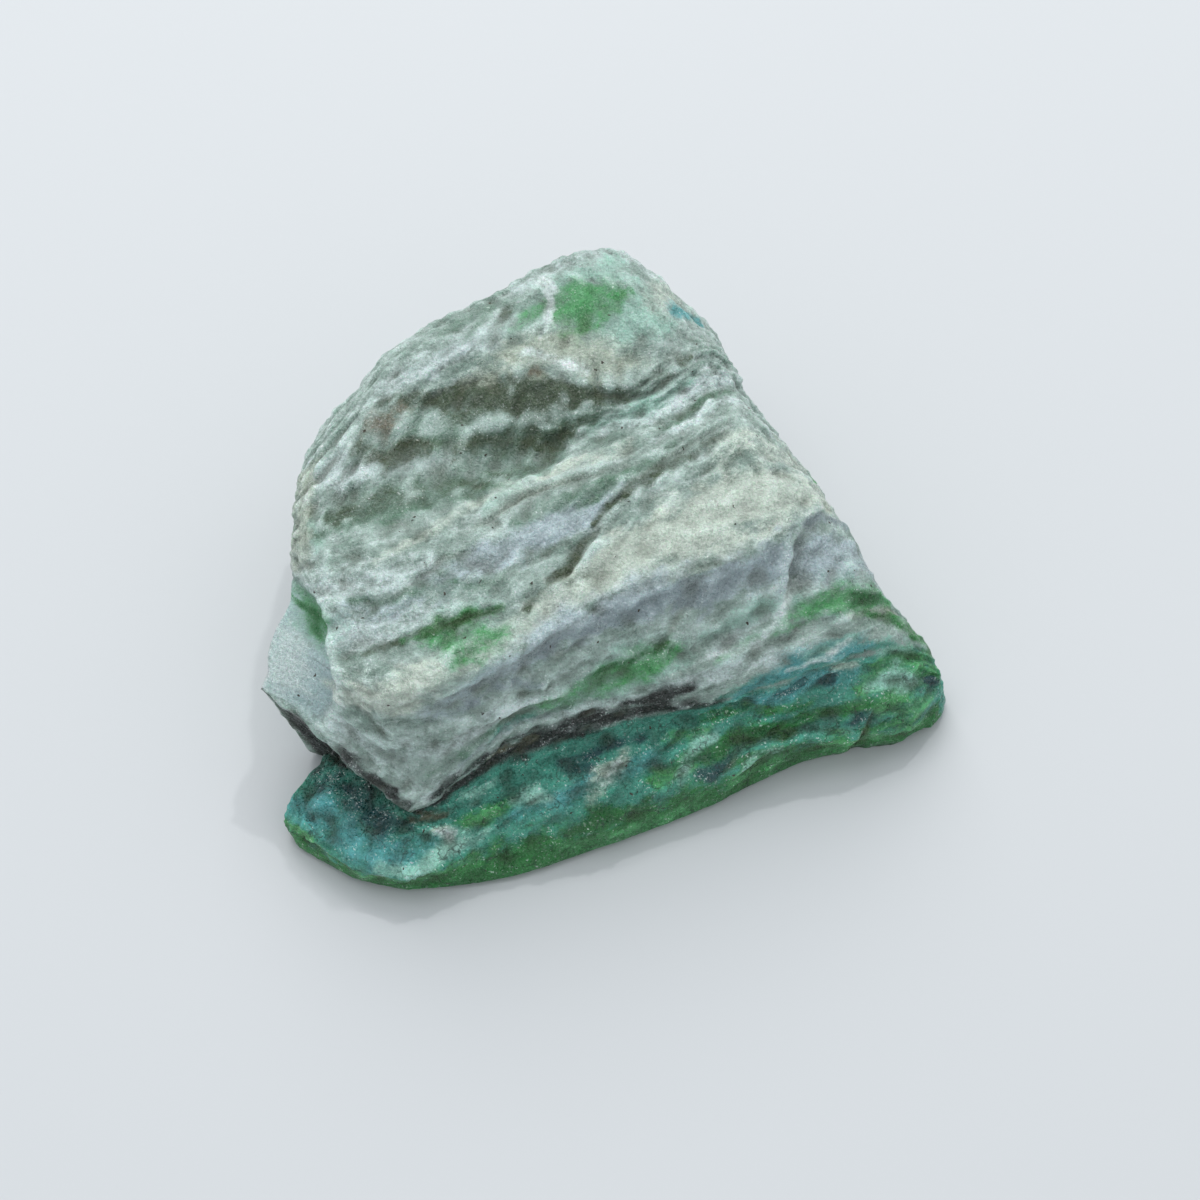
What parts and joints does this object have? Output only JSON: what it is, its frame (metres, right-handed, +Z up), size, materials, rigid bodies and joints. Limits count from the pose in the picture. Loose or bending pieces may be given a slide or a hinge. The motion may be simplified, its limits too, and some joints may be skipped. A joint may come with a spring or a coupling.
{
  "type": "raw jade stone",
  "caption": "Rough unpolished chip of banded pale green jade with a low dark green ledge along its front edge, lying on its flat broken side.",
  "frame": {"origin": "centre of the stone's box, on the surface it rests on", "axes": "+X to the right along the stone's bands and its longest side, +Y to the back across the bands, +Z up"},
  "size_m": [0.0493, 0.0455, 0.0196],
  "materials": {
    "jade": "raw broken jade: pale sage and cream bands, lavender-grey bands, emerald and teal patches, satin crystalline lustre"
  },
  "bodies": {
    "root": {"raw_jade": "jade"}
  },
  "joints": []
}
